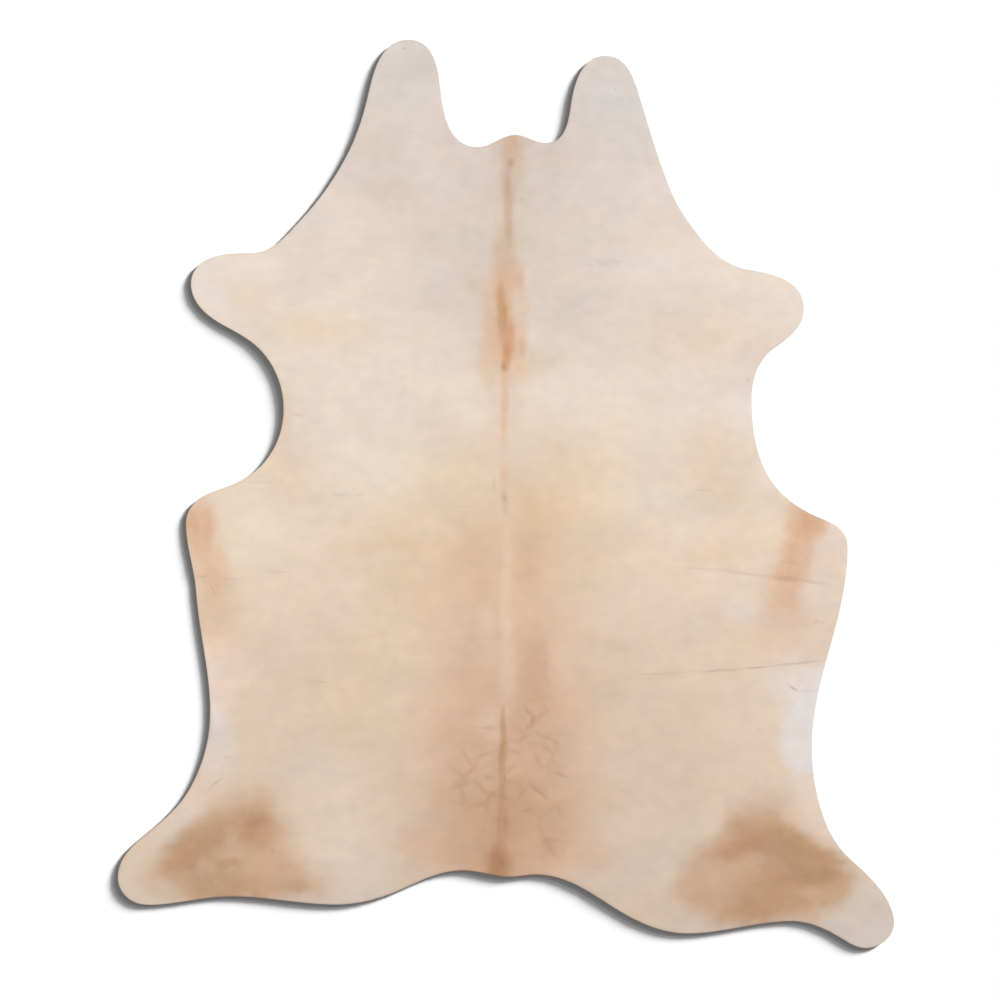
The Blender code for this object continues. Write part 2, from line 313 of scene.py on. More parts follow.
    ("inner low spots", -515, -950, 52, 14, 1.4, "cloud", 0.50),
    ("inner slope", -566, -838, 30, 40, 1.5, "cloud", 0.30, -35),
    ("cool spot", -822, -950, 26, 16, 1.4, "ash", 0.40),
    ("cool nick", -622, -968, 9, 6, 1.4, "ash", 0.28),
    ("left toe", -900, -930, 60, 70, 1.3, "biscuit", 0.55),
    ("inside it", -425, -795, 110, 110, 1.5, "oat", 0.42, 20),
    # right hock: larger and darker, with a dark arm down its outer side
    ("outer haze", 705, -800, 84, 30, 1.2, "hockPale", 0.50, -45),
    ("cloud", 632, -925, 172, 100, 2.8, "hockDeep", 0.88),
    ("inner slope", 528, -858, 76, 38, 1.6, "hock", 0.60, 50),
    ("outer slope", 702, -836, 72, 22, 2.0, "cloud", 0.62, -45),
    ("top", 600, -806, 50, 54, 1.8, "cloud", 0.80),
    ("top, outer", 642, -790, 38, 26, 1.7, "cloud", 0.50, -38),
    ("between top and slope", 642, -832, 48, 36, 1.8, "cloud", 0.62, -38),
    ("top, red", 604, -792, 34, 30, 1.6, "hockRed", 0.56),
    ("red inner", 560, -852, 50, 22, 1.7, "hockRed", 0.60, 12),
    ("arm", 738, -894, 116, 54, 2.8, "cloud", 0.82, -36),
    ("arm, dark", 762, -922, 60, 18, 1.6, "hockDark", 0.60, -4),
    ("arm, olive", 712, -846, 18, 14, 1.4, "olive", 0.60),
    ("pale middle", 584, -900, 38, 44, 1.9, "hockPale", 0.34),
    ("brown middle", 650, -935, 64, 36, 1.6, "cloud", 0.72),
    ("outer corner", 796, -960, 34, 28, 2.2, "hockDeep", 0.72),
    ("low outer", 720, -985, 88, 32, 1.5, "hockDeep", 0.45),
    ("pale outer", 742, -962, 34, 15, 1.6, "hockPale", 0.62),
    ("low brown", 625, -995, 110, 30, 1.9, "cloud", 0.72, 4),
    ("foot", 575, -1026, 74, 30, 1.6, "cloud", 0.66, 4),
    ("foot outer", 700, -1030, 60, 18, 1.4, "hock", 0.50),
    ("low inner", 485, -970, 66, 52, 2.4, "hock", 0.66),
    ("inner spot", 470, -985, 26, 18, 1.4, "cloud", 0.35),
    ("pale inner", 500, -925, 46, 30, 1.3, "mauve", 0.35),
    ("haze", 604, -756, 58, 40, 1.4, "mauve", 0.60),
    ("right toe", 880, -1040, 85, 70, 1.6, "ash", 0.42, -45),
    ("right toe, smudge", 896, -1004, 14, 12, 1.3, "mauve", 0.40),
    ("right toe, smudge by the hock", 802, -1040, 16, 13, 1.3, "ash", 0.60),
    ("right knee light", 758, -770, 80, 46, 1.4, "pinkCream", 0.60, -55),
    ("rump lower edge right", 380, -1000, 110, 60, 1.0, "hockPale", 0.30, -5),
    defaults=(0,))

# How the edges of those patches wander: size and shift in mm, the whole shift on wide patches
wander = table(
    "size shift seedX seedY", (95, 16, 11, 51), (38, 9, 12, 52), (17, 5, 13, 53), (8, 2, 14, 54))
wanderStretch = 1.4       # how far it is drawn out across the hide
wholeShiftAt = 55         # mm across a patch
# How uneven a patch is inside: size in mm, how far it is drawn out across the hide, change of the share
unevenness = table("size stretch change seed", (30, 0.8, 0.20, 15), (12, 0.6, 0.14, 16))
# Mottling: size in mm, how far it is drawn out across the hide, lightness and warmth as a share
mottling = table(
    "size stretch light warm lightSeed warmSeed",
    (70, 1.5, 0.016, 0.010, 21, 81),
    (30, 1.6, 0.010, 0.006, 22, 82),
    (30, 0.5, 0.007, 0.004, 25, 85),
    (13, 1.7, 0.007, 0.004, 23, 83),
)
warmth = (0.3, -0.1, -1.0)    # what a warmer place gains in red, green and blue


def patchShare(x, y, shiftX, shiftY, patch):
    # the patch's strength at places in metres
    turn = math.radians(patch.turn)
    loose = min(1.0, min(patch.along, patch.across) / wholeShiftAt)
    dx = (x + shiftX * loose) / mm - patch.x
    dy = (y + shiftY * loose) / mm - patch.y
    along = (dx * math.cos(turn) + dy * math.sin(turn)) / patch.along
    across = (dy * math.cos(turn) - dx * math.sin(turn)) / patch.across
    return patch.share * np.exp2(-((along ** 2 + across ** 2) ** patch.edge))


def groundTone(y, names):
    # the colours of the regions at heights in metres, each running into the next
    heights = [region.y * mm for region in coatRegions[::-1]]
    tones = np.array([hexValues(palette[name]) for name in names[::-1]])
    return np.stack([np.interp(y, heights, column) for column in tones.T], -1)


def coatTone(x, y):
    # the hair's sRGB colour at places in metres
    dx, dy = (sum(part.shift * mm * softNoise(x, y, part.size, getattr(part, seed), wanderStretch)
                  for part in wander) for seed in ("seedX", "seedY"))
    reach = np.abs((x + dx) / mm - backBand["middle"]) / backBand["reach"]
    share = np.exp2(-reach ** (2 * backBand["edge"]))[:, None]
    side = groundTone(y + dy, [region.side for region in coatRegions])
    back = groundTone(y + dy, [region.back for region in coatRegions])
    tone = side + (back - side) * share
    cloudy = 1 + sum(part.change * softNoise(x, y, part.size, part.seed, part.stretch) for part in unevenness)
    for patch in patches:
        share = np.minimum(patchShare(x, y, dx, dy, patch) * cloudy, 1)[:, None]
        tone = tone + (hexValues(palette[patch.colour]) - tone) * share
    for mottle in mottling:
        lift = mottle.light * softNoise(x, y, mottle.size, mottle.lightSeed, mottle.stretch)
        heat = mottle.warm * softNoise(x, y, mottle.size, mottle.warmSeed, mottle.stretch)
        tone = tone * (1 + lift[:, None] + heat[:, None] * np.array(warmth))
    return np.clip(tone, 0, 1)


# How the hair lies: it runs tailwards on the back line, then turns outwards down the sides
hairRun = {
    "backPull": 420,      # mm, how far the hair on the back line is drawn tailwards
    "backReach": 60,      # mm, half the width of that stretch
    "sideFall": 0.16,     # fall of the hair towards the tail on the open sides
    "legFall": 0.75,      # extra fall down the hind legs
    "legFrom": 660,       # mm out from the back line
    "legRise": (550, 950),    # mm behind the middle, from none of that fall to all of it
    "neckFall": 0.45,     # extra fall on the neck and cheeks
    "neckRise": (450, 950),   # mm ahead of the middle
    "waver": 6,           # mm
    "waverSize": 140,     # mm
    "waverSeed": 31,
    "step": 2,            # mm, over which the run is read
}


def smoothStep(value, low, high):
    share = np.clip((value - low) / (high - low), 0, 1)
    return share * share * (3 - 2 * share)


def runLevel(x, y):
    # a height that stays the same along every hair, so the hair runs along its contours
    out = np.abs(x)
    reach = hairRun["backReach"] * mm
    level = y + hairRun["sideFall"] * out
    level = level + hairRun["backPull"] * mm * (1 - np.exp(-out / reach))
    hind = smoothStep(-y / mm, *hairRun["legRise"])
    level = level + hairRun["legFall"] * hind * np.maximum(out - hairRun["legFrom"] * mm, 0)
    neck = smoothStep(y / mm, *hairRun["neckRise"])
    level = level + hairRun["neckFall"] * neck * out
    return level + hairRun["waver"] * mm * softNoise(x, y, hairRun["waverSize"], hairRun["waverSeed"])


def unit(vectors):
    return vectors / np.linalg.norm(vectors, axis=-1)[..., None]


def quarterTurn(vectors):
    return np.stack([-vectors[:, 1], vectors[:, 0]], -1)


def runAlong(places):
    # the way the hair points, as unit vectors
    x, y = places.T
    step = hairRun["step"] * mm
    gx = (runLevel(x + step, y) - runLevel(x - step, y)) / (2 * step)
    gy = (runLevel(x, y + step) - runLevel(x, y - step)) / (2 * step)
    side = np.where(x >= 0, 1.0, -1.0)
    return unit(np.stack([gy * side, -gx * side], -1))


# Shapes


def selectOnly(piece):
    bpy.ops.object.select_all(action="DESELECT")
    bpy.context.view_layer.objects.active = piece
    piece.select_set(True)


def pick(piece, kind, chosen=None):
    # selects only these vertices, edges or faces, or all of them, and opens the piece for editing
    selectOnly(piece)
    mesh = piece.data
    layers = {"VERT": mesh.vertices, "EDGE": mesh.edges, "FACE": mesh.polygons}
    for layer in layers.values():
        layer.foreach_set("select", np.zeros(len(layer), dtype=bool))
    chosen = np.ones(len(layers[kind])) if chosen is None else chosen
    layers[kind].foreach_set("select", np.asarray(chosen, dtype=bool))
    bpy.context.tool_settings.mesh_select_mode = [kind == each for each in layers]
    bpy.ops.object.mode_set(mode="EDIT")


def done():
    bpy.ops.object.mode_set(mode="OBJECT")


def readAll(items, name, width=1, kind=float):
    # one property of all vertices, edges, faces or corners
    values = np.empty(len(items) * width, dtype=kind)
    items.foreach_get(name, values)
    return values if width == 1 else values.reshape(-1, width)


def readPoints(mesh):
    return readAll(mesh.vertices, "co", 3)


def writePoints(mesh, points):
    mesh.vertices.foreach_set("co", np.asarray(points, dtype=np.float32).ravel())
    mesh.update()


def applyAll(piece):
    selectOnly(piece)
    for modifier in list(piece.modifiers):
        bpy.ops.object.modifier_apply(modifier=modifier.name)


rim = {
    "merge": 0.01,        # mm, points nearer than this become one
    "levels": 2,          # each step of the solid's outline becomes four
    "wallTilt": 0.25,     # faces whose normal rises or falls less than this are the leather's cut edge
}


def copyOfHide(name):
    # the CAD solid's mesh as a piece of its own, its loose triangles merged
    piece = bpy.data.objects.new(name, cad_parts["hide"].data.copy())
    bpy.context.scene.collection.objects.link(piece)
    piece.data.name = name
    piece.data.materials.clear()
    pick(piece, "VERT")
    bpy.ops.mesh.customdata_custom_splitnormals_clear()
    bpy.ops.mesh.remove_doubles(threshold=rim["merge"] * mm)
    done()
    return piece


# The cut edge of the hide seen from above: its points in order, the way out there, a search tree
edgeLine = namedtuple("edgeLine", "points outward tree")
cutEdge = {
    "smooth": 3,          # points on each side over which its direction is read
    "near": 12,           # mm, within which a distance is taken square to it
}


def cutEdgeOf(points):
    # the cut edge through these points, and the area inside it
    along = unit(np.roll(points, -cutEdge["smooth"], 0) - np.roll(points, cutEdge["smooth"], 0))
    ahead = np.roll(points, -1, 0)
    area = np.sum(points[:, 0] * ahead[:, 1] - points[:, 1] * ahead[:, 0]) / 2
    outward = quarterTurn(along) * (-1 if area > 0 else 1)
    tree = KDTree(len(points))
    for i, (x, y) in enumerate(points):
        tree.insert((x, y, 0), i)
    tree.balance()
    return edgeLine(points, outward, tree), abs(area)


def insetOf(edge, places):
    # how far in from the cut edge each place lies, with a minus sign outside it, and the nearest point
    hits = [edge.tree.find((x, y, 0)) for x, y in places]
    nearest = np.array([hit[1] for hit in hits])
    distance = np.array([hit[2] for hit in hits])
    side = -((places - edge.points[nearest]) * edge.outward[nearest]).sum(1)
    return np.where(distance < cutEdge["near"] * mm, side, np.sign(side) * distance), nearest


def openEdges(mesh):
    # the edges that only one face uses
    uses = np.zeros(len(mesh.edges), dtype=int)
    np.add.at(uses, readAll(mesh.loops, "edge_index", kind=int), 1)
    return uses == 1


def chained(ends):
    # the vertices of a closed line, in order, from its edges
    following = {}
    for a, b in ends:
        following.setdefault(a, []).append(b)
        following.setdefault(b, []).append(a)
    order = [ends[0][0], ends[0][1]]
    while len(order) < len(ends):
        first, second = following[order[-1]]
        order.append(second if first == order[-2] else first)
    return order


def closeWithFace(piece, edges):
    pick(piece, "EDGE", edges)
    bpy.ops.mesh.edge_face_add()
    done()


def solidPart(name, chooseFaces):
    # the solid's faces that the rule on their normals chooses, in quads and rounded
    piece = copyOfHide(name)
    pick(piece, "FACE", ~chooseFaces(readAll(piece.data.polygons, "normal", 3)[:, 2]))
    bpy.ops.mesh.delete(type="FACE")
    done()
    pick(piece, "FACE")
    bpy.ops.mesh.tris_convert_to_quads(face_threshold=math.pi, shape_threshold=math.pi)
    done()
    finer = piece.modifiers.new("finer", "SUBSURF")
    finer.levels = finer.render_levels = rim["levels"]
    finer.boundary_smooth = "ALL"
    applyAll(piece)
    return piece


leather = {
    "name": "hideLeather",
    "worn": 0.12,         # mm, unevenness of the knife's cut
    "knifeStep": 9,       # mm
    "knifeSeed": 51,
    "footHigh": 0.5,      # mm, the cut's lower edge lies under this
}


def makeLeather():
    piece = solidPart(leather["name"], lambda tilt: np.abs(tilt) < rim["wallTilt"])
    mesh = piece.data
    points = readPoints(mesh)
    ends = readAll(mesh.edges, "vertices", 2, int)
    isLow = openEdges(mesh) & (points[ends][:, :, 2] < leather["footHigh"] * mm).all(1)
    edge, area = cutEdgeOf(points[chained(ends[isLow]), :2])
    nearest = insetOf(edge, points[:, :2])[1]
    wobble = leather["worn"] * mm * softNoise(*points[:, :2].T, leather["knifeStep"], leather["knifeSeed"])
    points[:, :2] += wobble[:, None] * edge.outward[nearest]
    writePoints(mesh, points)
    closeWithFace(piece, isLow)
    closeWithFace(piece, openEdges(mesh))
    tidyNormals(piece)
    return piece, edge, area


def tidyNormals(piece):
    pick(piece, "FACE")
    bpy.ops.mesh.normals_make_consistent(inside=False)
    done()
    selectOnly(piece)
    bpy.ops.object.shade_smooth()


# Creases from folding, as soft troughs with a low ridge on each side, in mm
creases = table(
    "name x0 y0 x1 y1 bow halfWidth depth",
    ("long crease, right flank", 290, -443, 775, -403, 3, 7, 0.40),
    ("upper crease, right flank", 415, -174, 800, -220, -4, 7, 0.30),
    ("short crease, right belly", 676, -460, 715, -481, -3, 5, 0.28),
    ("crease, left flank", -750, -200, -520, -188, -8, 6, 0.20),
    ("upper fold, left waist", -645, 30, -545, 28, 2, 7, 0.12),
    ("fold, left waist", -470, 4, -300, 6, 2, 7, 0.12),
    ("fold at the left waist's edge", -504, 198, -400, 194, 2, 7, 0.15),
    ("soft fold, loin left", -330, -110, -130, -96, 5, 9, 0.12),
    ("soft fold, loin right", 60, -150, 415, -172, 6, 9, 0.15),
    ("scratch above the left hock", -716, -706, -683, -686, 2, 5, 0.20),
)
creaseForm = {
    "ridge": 0.4,         # share of the depth that the ridges stand up
    "ridgeAt": 2.2,       # half widths from the middle
    "past": 0.02,         # share of its length that a crease runs past its ends
    "fade": 0.12,         # and that it takes to its full depth
}


def creasePlace(x, y, crease):
    # how far along a crease a place lies, from 0 to 1, and how far beside it in metres
    start = np.array([crease.x0, crease.y0]) * mm
    end = np.array([crease.x1, crease.y1]) * mm
    length = np.linalg.norm(end - start)
    ux, uy = (end - start) / length
    run = ((x - start[0]) * ux + (y - start[1]) * uy) / length
    bow = crease.bow * mm * (1 - (2 * run - 1) ** 2)
    return run, (y - start[1]) * ux - (x - start[0]) * uy - bow


def creaseHeight(x, y, crease):
    run, beside = creasePlace(x, y, crease)
    side = beside / (crease.halfWidth * mm)
    past, fade = creaseForm["past"], creaseForm["fade"]
    ends = smoothStep(run, -past, fade) * smoothStep(-run, -1 - past, fade - 1)
    ridges = sum(np.exp(-(side + at) ** 2) for at in (-creaseForm["ridgeAt"], creaseForm["ridgeAt"]))
    return crease.depth * mm * ends * (creaseForm["ridge"] * ridges - np.exp(-side ** 2))


coat = {
    "name": "hairCoat",
    "refineReach": 3.2,   # half widths beside a crease where the mesh is made finer
    "refineCuts": 3,
    "refineInset": 12,    # mm, nowhere nearer than this to the cut edge
    "smallest": 16,       # mm2, faces under this are never halved
    "toneSteps": [0.030, 0.028],  # a face with more change of colour than this is halved, in turn
    "dapple": 0.10,       # mm, wide and soft unevenness
    "dappleSize": 60,     # mm
    "dappleStretch": 1.3,
    "dappleSeed": 63,
    "fadeIn": (1, 14),    # mm from the cut edge, from no relief to the full relief
}


def toneSpread(mesh):
    # how much the coat's colour changes over each face
    tone = coatTone(*readPoints(mesh)[:, :2].T)[readAll(mesh.loops, "vertex_index", kind=int)]
    starts = readAll(mesh.polygons, "loop_start", kind=int)
    return (np.maximum.reduceat(tone, starts) - np.minimum.reduceat(tone, starts)).max(1)


def makeCoat(edge):
    # the solid's hair side, from where it rolls over the leather's edge
    piece = solidPart(coat["name"], lambda tilt: tilt > rim["wallTilt"])
    mesh = piece.data
    centres = readAll(mesh.polygons, "center", 3)[:, :2]
    isNear = np.zeros(len(centres), dtype=bool)
    for crease in creases:
        run, beside = creasePlace(*centres.T, crease)
        isNear |= ((run > -creaseForm["past"]) & (run < 1 + creaseForm["past"])
                   & (np.abs(beside) < coat["refineReach"] * crease.halfWidth * mm))
    pick(piece, "FACE", isNear & (insetOf(edge, centres)[0] > coat["refineInset"] * mm))
    bpy.ops.mesh.subdivide(number_cuts=coat["refineCuts"], smoothness=0)
    done()
    for step in coat["toneSteps"]:
        isWide = readAll(mesh.polygons, "area") > coat["smallest"] * mm ** 2
        pick(piece, "FACE", (toneSpread(mesh) > step) & isWide)
        bpy.ops.mesh.subdivide(number_cuts=1, smoothness=0)
        done()
    points = readPoints(mesh)
    x, y = points[:, 0], points[:, 1]
    relief = coat["dapple"] * mm * softNoise(
        x, y, coat["dappleSize"], coat["dappleSeed"], coat["dappleStretch"])
    for crease in creases:
        relief = relief + creaseHeight(x, y, crease)
    inset = insetOf(edge, points[:, :2])[0]
    points[:, 2] += relief * smoothStep(inset / mm, *coat["fadeIn"])
    writePoints(mesh, points)
    closeWithFace(piece, openEdges(mesh))
    tidyNormals(piece)
    return piece


# Colour and maps


def paint(piece, tones):
    # the coat's colour at each vertex, and the map that runs along the hair
    mesh = piece.data
    layer = mesh.color_attributes.new("coatTone", "FLOAT_COLOR", "POINT")
    colours = np.ones((len(mesh.vertices), 4), dtype=np.float32)
    colours[:, :3] = toLinear(tones)
    layer.data.foreach_set("color", colours.ravel())
    x, y = readPoints(mesh)[readAll(mesh.loops, "vertex_index", kind=int), :2].T
    setMap(mesh, "hairRun", np.abs(x), runLevel(x, y))


def setMap(mesh, name, u, v):
    layer = mesh.uv_layers.new(name=name)
    layer.data.foreach_set("uv", np.stack([u, v], -1).astype(np.float32).ravel())


bakeLayout = {            # shares of the map: a margin, and where a strip starts and its size
    "margin": 0.002,
    "hidden": (0.935, 0.07),
    "wall": (0.87, 0.05),
    "wallRun": (0.004, 0.99),
    "wallHigh": 2.5,      # mm of the cut wall across its strip
    "wallTilt": 0.5,      # hidden faces whose normal rises or falls less than this are the wall
    "wrap": 20,           # points at the start of the cut edge that the last face joins
}


def bakeMap(piece, edge=None, isSeen=None):
    # seen faces, all of them without a rule, lie flat in the map; hidden ones and the cut wall share
    # the strip beside them
    mesh = piece.data
    corners = readAll(mesh.loops, "vertex_index", kind=int)
    points = readPoints(mesh)
    margin = bakeLayout["margin"]
    size = np.ptp(points[:, :2], axis=0).max() / (1 - 2 * margin)
    across, v, high = (points - points.min(0))[corners].T
    x, v = across / size + margin, v / size + margin
    counts = readAll(mesh.polygons, "loop_total", kind=int)
    tilt = np.repeat(readAll(mesh.polygons, "normal", 3)[:, 2], counts)
    seen = isSeen(tilt) if isSeen else np.ones(len(tilt), dtype=bool)
    wall = ~seen & (np.abs(tilt) < bakeLayout["wallTilt"])
    start, wide = bakeLayout["hidden"]
    u = np.where(seen, x, start + wide * x)
    if wall.any():
        nearest = insetOf(edge, points[:, :2])[1][corners]
        face = np.repeat(np.arange(len(counts)), counts)
        first = np.full(len(counts), len(edge.points))
        np.minimum.at(first, face, nearest)
        wraps = (first[face] < bakeLayout["wrap"]) & (nearest > len(edge.points) / 2)
        along = np.where(wraps, -1, nearest) / len(edge.points)
        start, wide = bakeLayout["wall"]
        u = np.where(wall, start + wide * high / (bakeLayout["wallHigh"] * mm), u)
        start, wide = bakeLayout["wallRun"]
        v = np.where(wall, start + wide * along, v)
    setMap(mesh, "OFBake", u, v)


# Locks of hair


def locksPiece(name, points, normals, faces, tones):
    # one joined mesh of closed locks: the points and normals of each lock, and the triangles of one
    count, corners = points.shape[:2]
    faces = (np.array(faces)[None] + corners * np.arange(count)[:, None, None]).ravel().astype(np.int32)
    mesh = bpy.data.meshes.new(name)
    mesh.vertices.add(count * corners)
    mesh.vertices.foreach_set("co", points.astype(np.float32).ravel())
    mesh.loops.add(len(faces))
    mesh.loops.foreach_set("vertex_index", faces)
    mesh.polygons.add(len(faces) // 3)
    mesh.polygons.foreach_set("loop_start", np.arange(0, len(faces), 3, dtype=np.int32))
    mesh.update(calc_edges=True)
    mesh.validate()
    mesh.shade_smooth()
    mesh.normals_split_custom_set_from_vertices(normals.reshape(-1, 3).astype(np.float32))
    piece = bpy.data.objects.new(name, mesh)
    bpy.context.scene.collection.objects.link(piece)
    paint(piece, np.repeat(np.clip(tones, 0, 1), corners, axis=0))
    bakeMap(piece)
    report(name, count, "locks")
    return piece


locks = {
    "pitch": 4.15,        # mm between roots
    "jitter": 0.5,        # share of the pitch
    "clear": 2.5,         # mm from a root to the cut edge, at least
    "length": 15.0,       # mm
    "lengths": (0.75, 1.2),   # from the shortest to the longest, as a share
    "width": 1.0,         # mm at the root
    "widths": (0.7, 1.25),
    "ridge": 0.08,        # mm, height of a lock's back over its edges
    "lift": 0.18,         # mm, how far a tip stands off the coat
    "lifts": (0.4, 1.3),
    "sunk": 0.12,         # mm, how deep the root sits in the coat
    "bare": 3,            # mm, the height where there is no coat underneath
    "castFrom": 0.1,      # metres over the floor, where the coat's height is looked for downwards
    "splay": 9,           # degrees that a lock strays from the run of the hair
    "shade": 0.006,       # how much locks differ in lightness, as a share
    "lean": 0.06,         # how far a lock's sides are shaded away from the coat's own facing
    "seed": 7,
}
lockRegions = table(      # lowest and highest y in mm, and the side in x
    "name low high side",
    ("neckLocks", 330, 1100, 0),
    ("leftSideLocks", -420, 330, -1),
    ("rightSideLocks", -420, 330, 1),
    ("leftRumpLocks", -1100, -420, -1),
    ("rightRumpLocks", -1100, -420, 1),
)


def lockRoots(edge, rng):
    # a jittered net of places over the hide
    pitch = locks["pitch"] * mm
    xs = np.arange(cadLow.x, cadHigh.x, pitch)
    ys = np.arange(cadLow.y, cadHigh.y, pitch)
    places = np.stack(np.meshgrid(xs, ys), -1).reshape(-1, 2)
    places = places + rng.uniform(-locks["jitter"], locks["jitter"], places.shape) * pitch
    return places[insetOf(edge, places)[0] > locks["clear"] * mm]


def lockTones(root, rng):
    # the coat's colour at each root, a little lighter or darker from lock to lock
    return coatTone(*root.T) * (1 + rng.normal(0, locks["shade"], len(root)))[:, None]


def coatUnder(caster, places, bare):
    # the coat's height and the way it faces at each place, or a bare height in mm beside it
    heights = np.full(len(places), bare * mm)
    facing = np.tile([0.0, 0.0, 1.0], (len(places), 1))
    down = Vector((0, 0, -1))
    for i, (x, y) in enumerate(places):
        point, normal = caster.ray_cast(Vector((x, y, locks["castFrom"])), down)[:2]
        if point is not None:
            heights[i] = point.z
            facing[i] = normal
    return heights, facing


def leaned(normals, away, share):
    # unit normals that lean a share of the way of vectors on the floor
    return unit(normals + share * np.column_stack([away, np.zeros(len(away))]))


def sided(facing, across):
    # how a lock's two sides and its back are shaded
    return [leaned(facing, across, locks["lean"]), leaned(facing, across, -locks["lean"]), facing]


def makeLocks(edge, caster):
    rng = np.random.default_rng(locks["seed"])
    root = lockRoots(edge, rng)
    run = runAlong(root)
    turn = np.radians(rng.normal(0, locks["splay"], len(root)))[:, None]
    run = run * np.cos(turn) + quarterTurn(run) * np.sin(turn)
    length = locks["length"] * mm * rng.uniform(*locks["lengths"], len(root))
    width = locks["width"] * mm * rng.uniform(*locks["widths"], len(root))
    tip = root + run * length[:, None]
    inside = insetOf(edge, tip)[0] > 0
    root, run, tip, width = root[inside], run[inside], tip[inside], width[inside][:, None]
    rootZ, facing = coatUnder(caster, root, locks["bare"])
    tipZ = coatUnder(caster, tip, locks["bare"])[0]
    tone = lockTones(root, rng)
    lift = locks["lift"] * mm * rng.uniform(*locks["lifts"], len(root))
    across = quarterTurn(run)
    points = np.stack([
        np.column_stack([root + across * width / 2, rootZ - locks["sunk"] * mm]),
        np.column_stack([root - across * width / 2, rootZ - locks["sunk"] * mm]),
        np.column_stack([root + run * width, rootZ + locks["ridge"] * mm]),
        np.column_stack([tip, tipZ + lift]),
    ], 1)
    normals = np.stack([*sided(facing, across), facing], 1)
    faces = [(0, 1, 2), (0, 2, 3), (2, 1, 3), (0, 3, 1)]
    pieces = []
    x, y = root.T / mm
    for part in lockRegions:
        chosen = (y >= part.low) & (y < part.high) & ((x >= 0) == (part.side > 0) if part.side else True)
        pieces.append(locksPiece(part.name, points[chosen], normals[chosen], faces, tone[chosen]))
    return pieces


rimLocks = {
    "rows": (0.7, 2.0, 3.6),  # mm in from the cut edge
    "pitch": 2.1,         # mm between roots in a row
    "jitter": 0.4,        # share of the pitch
    "length": 8.5,        # mm
    "lengths": (0.7, 1.15),   # from the shortest to the longest, as a share
    "width": 1.0,         # mm
    "widths": (0.6, 1.2),
    "ridge": 0.14,        # mm
    "over": 1.0,          # mm, how far the tips reach past the cut edge
    "overs": (0.1, 1.0),
    "outPull": (0.25, 1.2),   # a lock less outwards than the first is turned outwards by the second
    "leastOut": 0.12,
    "bend": 0.55,         # share of its length from the root to its bend
    "bendWidth": 0.8,
    "bare": (2.5, 2.6, 0),    # mm, heights of the root, bend and tip where there is no coat
    "tipHigh": (0.7, 2.2),    # mm over the floor, past the cut edge
    "tipLift": 0.3,       # mm over the coat, inside it
    "lean": (0.25, 0.6),  # how far the bend and the tip are shaded outwards
    "seed": 9,
}


def makeRimLocks(edge, caster):
    # hair at the cut edge, rooted just inside it and bent down over it
    rng = np.random.default_rng(rimLocks["seed"])
    closed = np.vstack([edge.points, edge.points[:1]])
    closedOut = np.vstack([edge.outward, edge.outward[:1]])
    travelled = np.concatenate([[0], np.cumsum(np.linalg.norm(np.diff(closed, axis=0), axis=1))])
    total = round(travelled[-1] / (rimLocks["pitch"] * mm))
    stray = rimLocks["jitter"]
    rows = []
    for inset in rimLocks["rows"]:
        at = (np.arange(total) + rng.uniform(-stray, stray, total)) * travelled[-1] / total
        at = np.mod(at, travelled[-1])
        place, away = (np.stack([np.interp(at, travelled, column) for column in line.T], -1)
                       for line in (closed, closedOut))
        away = unit(away)
        rows.append((place - away * inset * mm, away, np.full(total, inset * mm)))
    root, away, inset = (np.concatenate(part) for part in zip(*rows))
    count = len(root)
    run = runAlong(root)
    least, pull = rimLocks["outPull"]
    aim = unit(run + away * np.maximum(least - (run * away).sum(1), 0)[:, None] * pull)
    outwards = np.maximum((aim * away).sum(1), rimLocks["leastOut"])
    over = rimLocks["over"] * mm * rng.uniform(*rimLocks["overs"], count)
    length = rimLocks["length"] * mm * rng.uniform(*rimLocks["lengths"], count)
    length = np.minimum(length, (inset + over) / outwards)[:, None]
    half = rimLocks["width"] * mm * rng.uniform(*rimLocks["widths"], count)[:, None] / 2
    across = quarterTurn(aim)
    middle, tip = root + aim * length * rimLocks["bend"], root + aim * length
    rootBare, middleBare, tipBare = rimLocks["bare"]
    rootZ, facing = coatUnder(caster, root, rootBare)
    middleZ = coatUnder(caster, middle, middleBare)[0]
    tipZ = np.where(insetOf(edge, tip)[0] < 0, rng.uniform(*rimLocks["tipHigh"], count) * mm,
                    coatUnder(caster, tip, tipBare)[0] + rimLocks["tipLift"] * mm)

    def ring(centre, height, share):
        ridge = rimLocks["ridge"] * mm
        return [
            np.column_stack([centre + across * half * share, height - ridge]),
            np.column_stack([centre - across * half * share, height - ridge]),
            np.column_stack([centre, height + ridge]),
        ]

    points = np.stack([*ring(root, rootZ, 1.0), *ring(middle, middleZ, rimLocks["bendWidth"]),
                       np.column_stack([tip, tipZ])], 1)
    faces = [(0, 1, 2), (0, 3, 1), (1, 3, 4), (1, 4, 2), (2, 4, 5),
             (2, 5, 0), (0, 5, 3), (3, 6, 4), (4, 6, 5), (5, 6, 3)]
    tone = lockTones(root, rng)
    bendLean, tipLean = rimLocks["lean"]
    normals = np.stack([*sided(facing, across), *sided(leaned(facing, away, bendLean), across),
                        leaned(facing, away, tipLean)], 1)
    return locksPiece("rimLocks", points, normals, faces, tone)


# Materials


def linear(text):
    return (*toLinear(hexValues(text)), 1.0)


def connect(tree, node, links):
    # links inputs of the node to sockets, or to the first outputs of other nodes
    for name, source in links.items():
        tree.links.new(getattr(source, "outputs", [source])[0], node.inputs[name])


def addNode(tree, kind, settings=None, links=None):
    node = tree.nodes.new("ShaderNode" + kind)
    for name, value in (settings or {}).items():
        if isinstance(name, str) and hasattr(node, name):
            setattr(node, name, value)
        else:
            node.inputs[name].default_value = value
    connect(tree, node, links or {})
    return node


